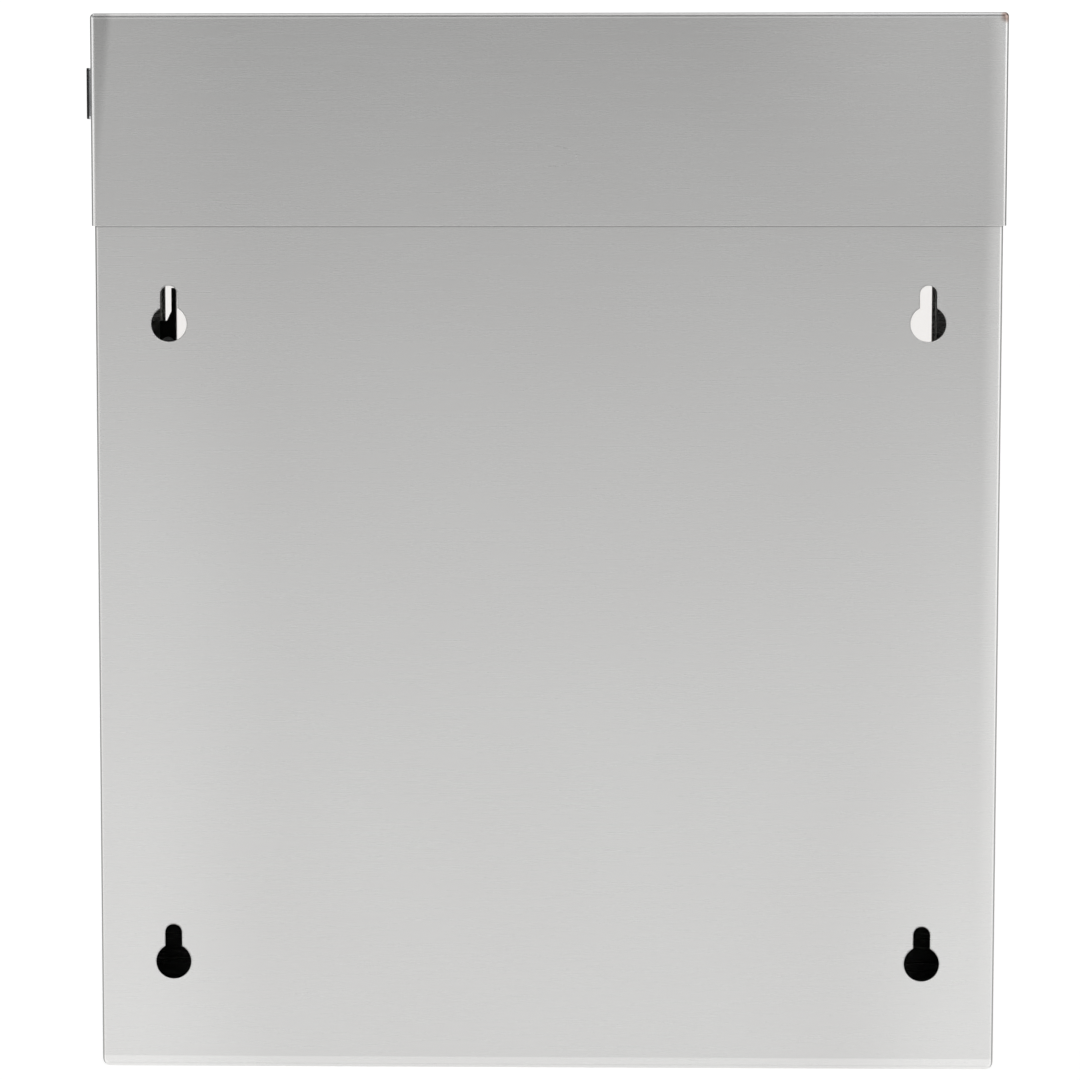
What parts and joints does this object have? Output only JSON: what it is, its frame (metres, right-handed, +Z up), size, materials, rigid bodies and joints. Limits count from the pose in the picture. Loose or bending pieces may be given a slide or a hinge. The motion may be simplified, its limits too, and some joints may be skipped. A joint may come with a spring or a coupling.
{
  "type": "wall mounted mailbox",
  "caption": "Flat brushed-steel wall mailbox with a lift-off hood held by a cam lock, a letter slot with an inward flap and keyhole wall fixings.",
  "frame": {"origin": "centre of the four round keyhole entries, on the outer face of the back", "axes": "+Z up, +Y out of the back towards the wall, the front faces -Y, and +X is the lock side"},
  "size_m": [0.3279, 0.1247, 0.38],
  "materials": {
    "brushed_stainless": "stainless sheet with a fine horizontal brush grain",
    "plain_stainless": "plain rolled stainless, unbrushed",
    "zinc_plated": "bright zinc-plated steel",
    "chromed_zinc": "die-cast zinc, chrome plated",
    "extruded_aluminium": "satin extruded aluminium",
    "clear_acrylic": "clear cast acrylic sheet, gloss",
    "black_nylon": "moulded black nylon, fine matt",
    "natural_acetal": "moulded off-white acetal",
    "black_rubber": "soft black rubber",
    "wafer_brass": "stamped brass"
  },
  "bodies": {
    "mailbox": {"body_shell": "brushed_stainless", "front_panel": "brushed_stainless", "flap_rod": "plain_stainless", "flap_bearing_left": "plain_stainless", "flap_bearing_right": "plain_stainless", "rod_clips": "zinc_plated", "strike_plate": "natural_acetal", "lock_catch": "plain_stainless"},
    "lid": {"lid_shell": "brushed_stainless", "lid_pads": "black_rubber", "lock_housing": "chromed_zinc", "lock_gasket": "black_rubber", "lock_washer": "zinc_plated", "lock_nut": "zinc_plated", "cover_pin": "chromed_zinc"},
    "flap": {"flap_panel": "clear_acrylic", "flap_rail": "extruded_aluminium", "flap_buffer": "black_nylon", "buffer_rivet": "extruded_aluminium"},
    "lock": {"lock_plug": "chromed_zinc", "lock_wafers": "wafer_brass", "lock_cam": "zinc_plated", "cam_washer": "zinc_plated", "cam_screw": "zinc_plated"},
    "cover": {"dust_cover": "black_nylon"}
  },
  "joints": [
    {"name": "lid_lift", "type": "slide", "parent": "mailbox", "child": "lid", "axis": [0, 0, 1], "range_m": [0, 0.2]},
    {"name": "flap_swing", "type": "hinge", "parent": "mailbox", "child": "flap", "pos_m": [0, -0.1006, 0.14], "axis": [1, 0, 0], "range_deg": [0, 80]},
    {"name": "lock_turn", "type": "hinge", "parent": "lid", "child": "lock", "pos_m": [0.154, -0.022, 0.1975], "axis": [-1, 0, 0], "range_deg": [0, 90]},
    {"name": "cover_swing", "type": "hinge", "parent": "lid", "child": "cover", "pos_m": [0.165, -0.022, 0.2038], "axis": [-1, 0, 0], "range_deg": [0, 110]}
  ]
}
